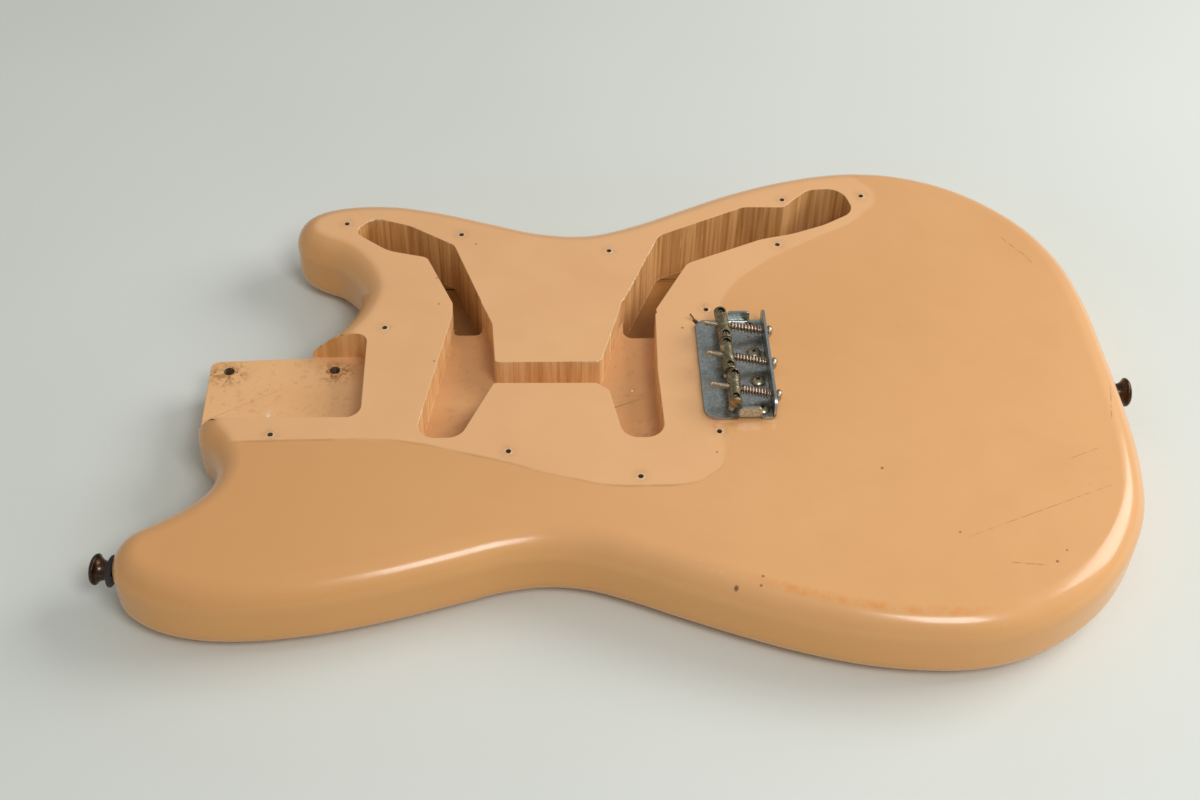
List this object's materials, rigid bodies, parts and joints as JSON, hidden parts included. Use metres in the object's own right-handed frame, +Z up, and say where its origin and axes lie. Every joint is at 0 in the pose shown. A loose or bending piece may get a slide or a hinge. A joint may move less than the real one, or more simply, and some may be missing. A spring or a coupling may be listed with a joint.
{
  "type": "solid-body electric guitar",
  "caption": "Stripped short-scale solid-body guitar: offset contoured body with routed cavities and neck pocket, adjustable barrel-saddle bridge, strap buttons and ground wire.",
  "frame": {"origin": "centre of the bounding box in plan, on the underside of the body", "axes": "+X from the neck pocket to the tail, +Y to the treble side, +Z up out of the face; the body lies on its back"},
  "size_m": [0.479, 0.3072, 0.0506],
  "materials": {
    "paint": "glossy tan lacquer over wood",
    "plate": "dull worn plating",
    "brass": "aged, unpolished",
    "screw": "worn nickel",
    "spring": "bright spring wire",
    "bronze": "dark bronze, glossy",
    "felt": "pressed felt",
    "wire": "tinned, darkened"
  },
  "bodies": {
    "guitar_body": {"body": "paint", "bridge_plate": "plate", "bridge_screw_1": "screw", "bridge_screw_2": "screw", "bridge_screw_3": "screw", "bridge_screw_4": "screw", "front_strap_felt": "felt", "front_strap_button": "bronze", "front_strap_screw": "bronze", "tail_strap_felt": "felt", "tail_strap_button": "bronze", "tail_strap_screw": "bronze", "ground_wire": "wire"},
    "tilt_treble": {"spring_treble": "spring"},
    "intonation_treble": {"intonation_screw_treble": "screw"},
    "saddle_treble": {"saddle_treble": "brass"},
    "height_treble_a": {"height_screw_treble_a": "screw"},
    "height_treble_b": {"height_screw_treble_b": "screw"},
    "tilt_middle": {"spring_middle": "spring"},
    "intonation_middle": {"intonation_screw_middle": "screw"},
    "saddle_middle": {"saddle_middle": "brass"},
    "height_middle_a": {"height_screw_middle_a": "screw"},
    "height_middle_b": {"height_screw_middle_b": "screw"},
    "tilt_bass": {"spring_bass": "spring"},
    "intonation_bass": {"intonation_screw_bass": "screw"},
    "saddle_bass": {"saddle_bass": "brass"},
    "height_bass_a": {"height_screw_bass_a": "screw"},
    "height_bass_b": {"height_screw_bass_b": "screw"}
  },
  "joints": [
    {"name": "saddle_tilt_treble", "type": "hinge", "parent": "guitar_body", "child": "tilt_treble", "pos_m": [0.06247, 0.01947, 0.0434], "axis": [0.014, 0.9999, 0], "range_deg": [-5.7, 5.1]},
    {"name": "intonation_turn_treble", "type": "hinge", "parent": "tilt_treble", "child": "intonation_treble", "pos_m": [0.06247, 0.01947, 0.0434], "axis": [0.9832, -0.0137, -0.1819], "range_deg": [-681, 3119]},
    {"name": "saddle_slide_treble", "type": "slide", "parent": "tilt_treble", "child": "saddle_treble", "axis": [-0.9832, 0.0137, 0.1819], "range_m": [-0.0012, 0.0055], "deforming": ["spring_treble"]},
    {"name": "height_treble_a", "type": "slide", "parent": "saddle_treble", "child": "height_treble_a", "axis": [-0.1819, 0.0025, -0.9833], "range_m": [-0.0022, 0.002]},
    {"name": "height_treble_b", "type": "slide", "parent": "saddle_treble", "child": "height_treble_b", "axis": [-0.1819, 0.0025, -0.9833], "range_m": [-0.0022, 0.002]},
    {"name": "saddle_tilt_middle", "type": "hinge", "parent": "guitar_body", "child": "tilt_middle", "pos_m": [0.06247, -0.00223, 0.0434], "axis": [0.0558, 0.9984, 0], "range_deg": [-5.7, 5.1]},
    {"name": "intonation_turn_middle", "type": "hinge", "parent": "tilt_middle", "child": "intonation_middle", "pos_m": [0.06247, -0.00223, 0.0434], "axis": [0.9808, -0.0548, -0.1871], "range_deg": [-681, 3119]},
    {"name": "saddle_slide_middle", "type": "slide", "parent": "tilt_middle", "child": "saddle_middle", "axis": [-0.9808, 0.0548, 0.1871], "range_m": [-0.0012, 0.0055], "deforming": ["spring_middle"]},
    {"name": "height_middle_a", "type": "slide", "parent": "saddle_middle", "child": "height_middle_a", "axis": [-0.1868, 0.0104, -0.9823], "range_m": [-0.0022, 0.002]},
    {"name": "height_middle_b", "type": "slide", "parent": "saddle_middle", "child": "height_middle_b", "axis": [-0.1868, 0.0104, -0.9823], "range_m": [-0.0022, 0.002]},
    {"name": "saddle_tilt_bass", "type": "hinge", "parent": "guitar_body", "child": "tilt_bass", "pos_m": [0.06247, -0.0232, 0.0434], "axis": [0.0628, 0.998, 0], "range_deg": [-5.7, 5.1]},
    {"name": "intonation_turn_bass", "type": "hinge", "parent": "tilt_bass", "child": "intonation_bass", "pos_m": [0.06247, -0.0232, 0.0434], "axis": [0.9781, -0.0615, -0.1988], "range_deg": [-681, 3119]},
    {"name": "saddle_slide_bass", "type": "slide", "parent": "tilt_bass", "child": "saddle_bass", "axis": [-0.9781, 0.0615, 0.1988], "range_m": [-0.0012, 0.0055], "deforming": ["spring_bass"]},
    {"name": "height_bass_a", "type": "slide", "parent": "saddle_bass", "child": "height_bass_a", "axis": [-0.1985, 0.0125, -0.98], "range_m": [-0.0022, 0.002]},
    {"name": "height_bass_b", "type": "slide", "parent": "saddle_bass", "child": "height_bass_b", "axis": [-0.1985, 0.0125, -0.98], "range_m": [-0.0022, 0.002]}
  ],
  "couplings": [
    {"joint": "intonation_turn_treble", "follows": "saddle_slide_treble", "rad_per_m": 9894.8},
    {"joint": "height_treble_a", "follows": "saddle_tilt_treble", "m_per_rad": 0.021677},
    {"joint": "height_treble_b", "follows": "saddle_tilt_treble", "m_per_rad": 0.021677},
    {"joint": "intonation_turn_middle", "follows": "saddle_slide_middle", "rad_per_m": 9894.8},
    {"joint": "height_middle_a", "follows": "saddle_tilt_middle", "m_per_rad": 0.021156},
    {"joint": "height_middle_b", "follows": "saddle_tilt_middle", "m_per_rad": 0.021156},
    {"joint": "intonation_turn_bass", "follows": "saddle_slide_bass", "rad_per_m": 9894.8},
    {"joint": "height_bass_a", "follows": "saddle_tilt_bass", "m_per_rad": 0.020077},
    {"joint": "height_bass_b", "follows": "saddle_tilt_bass", "m_per_rad": 0.020077}
  ]
}
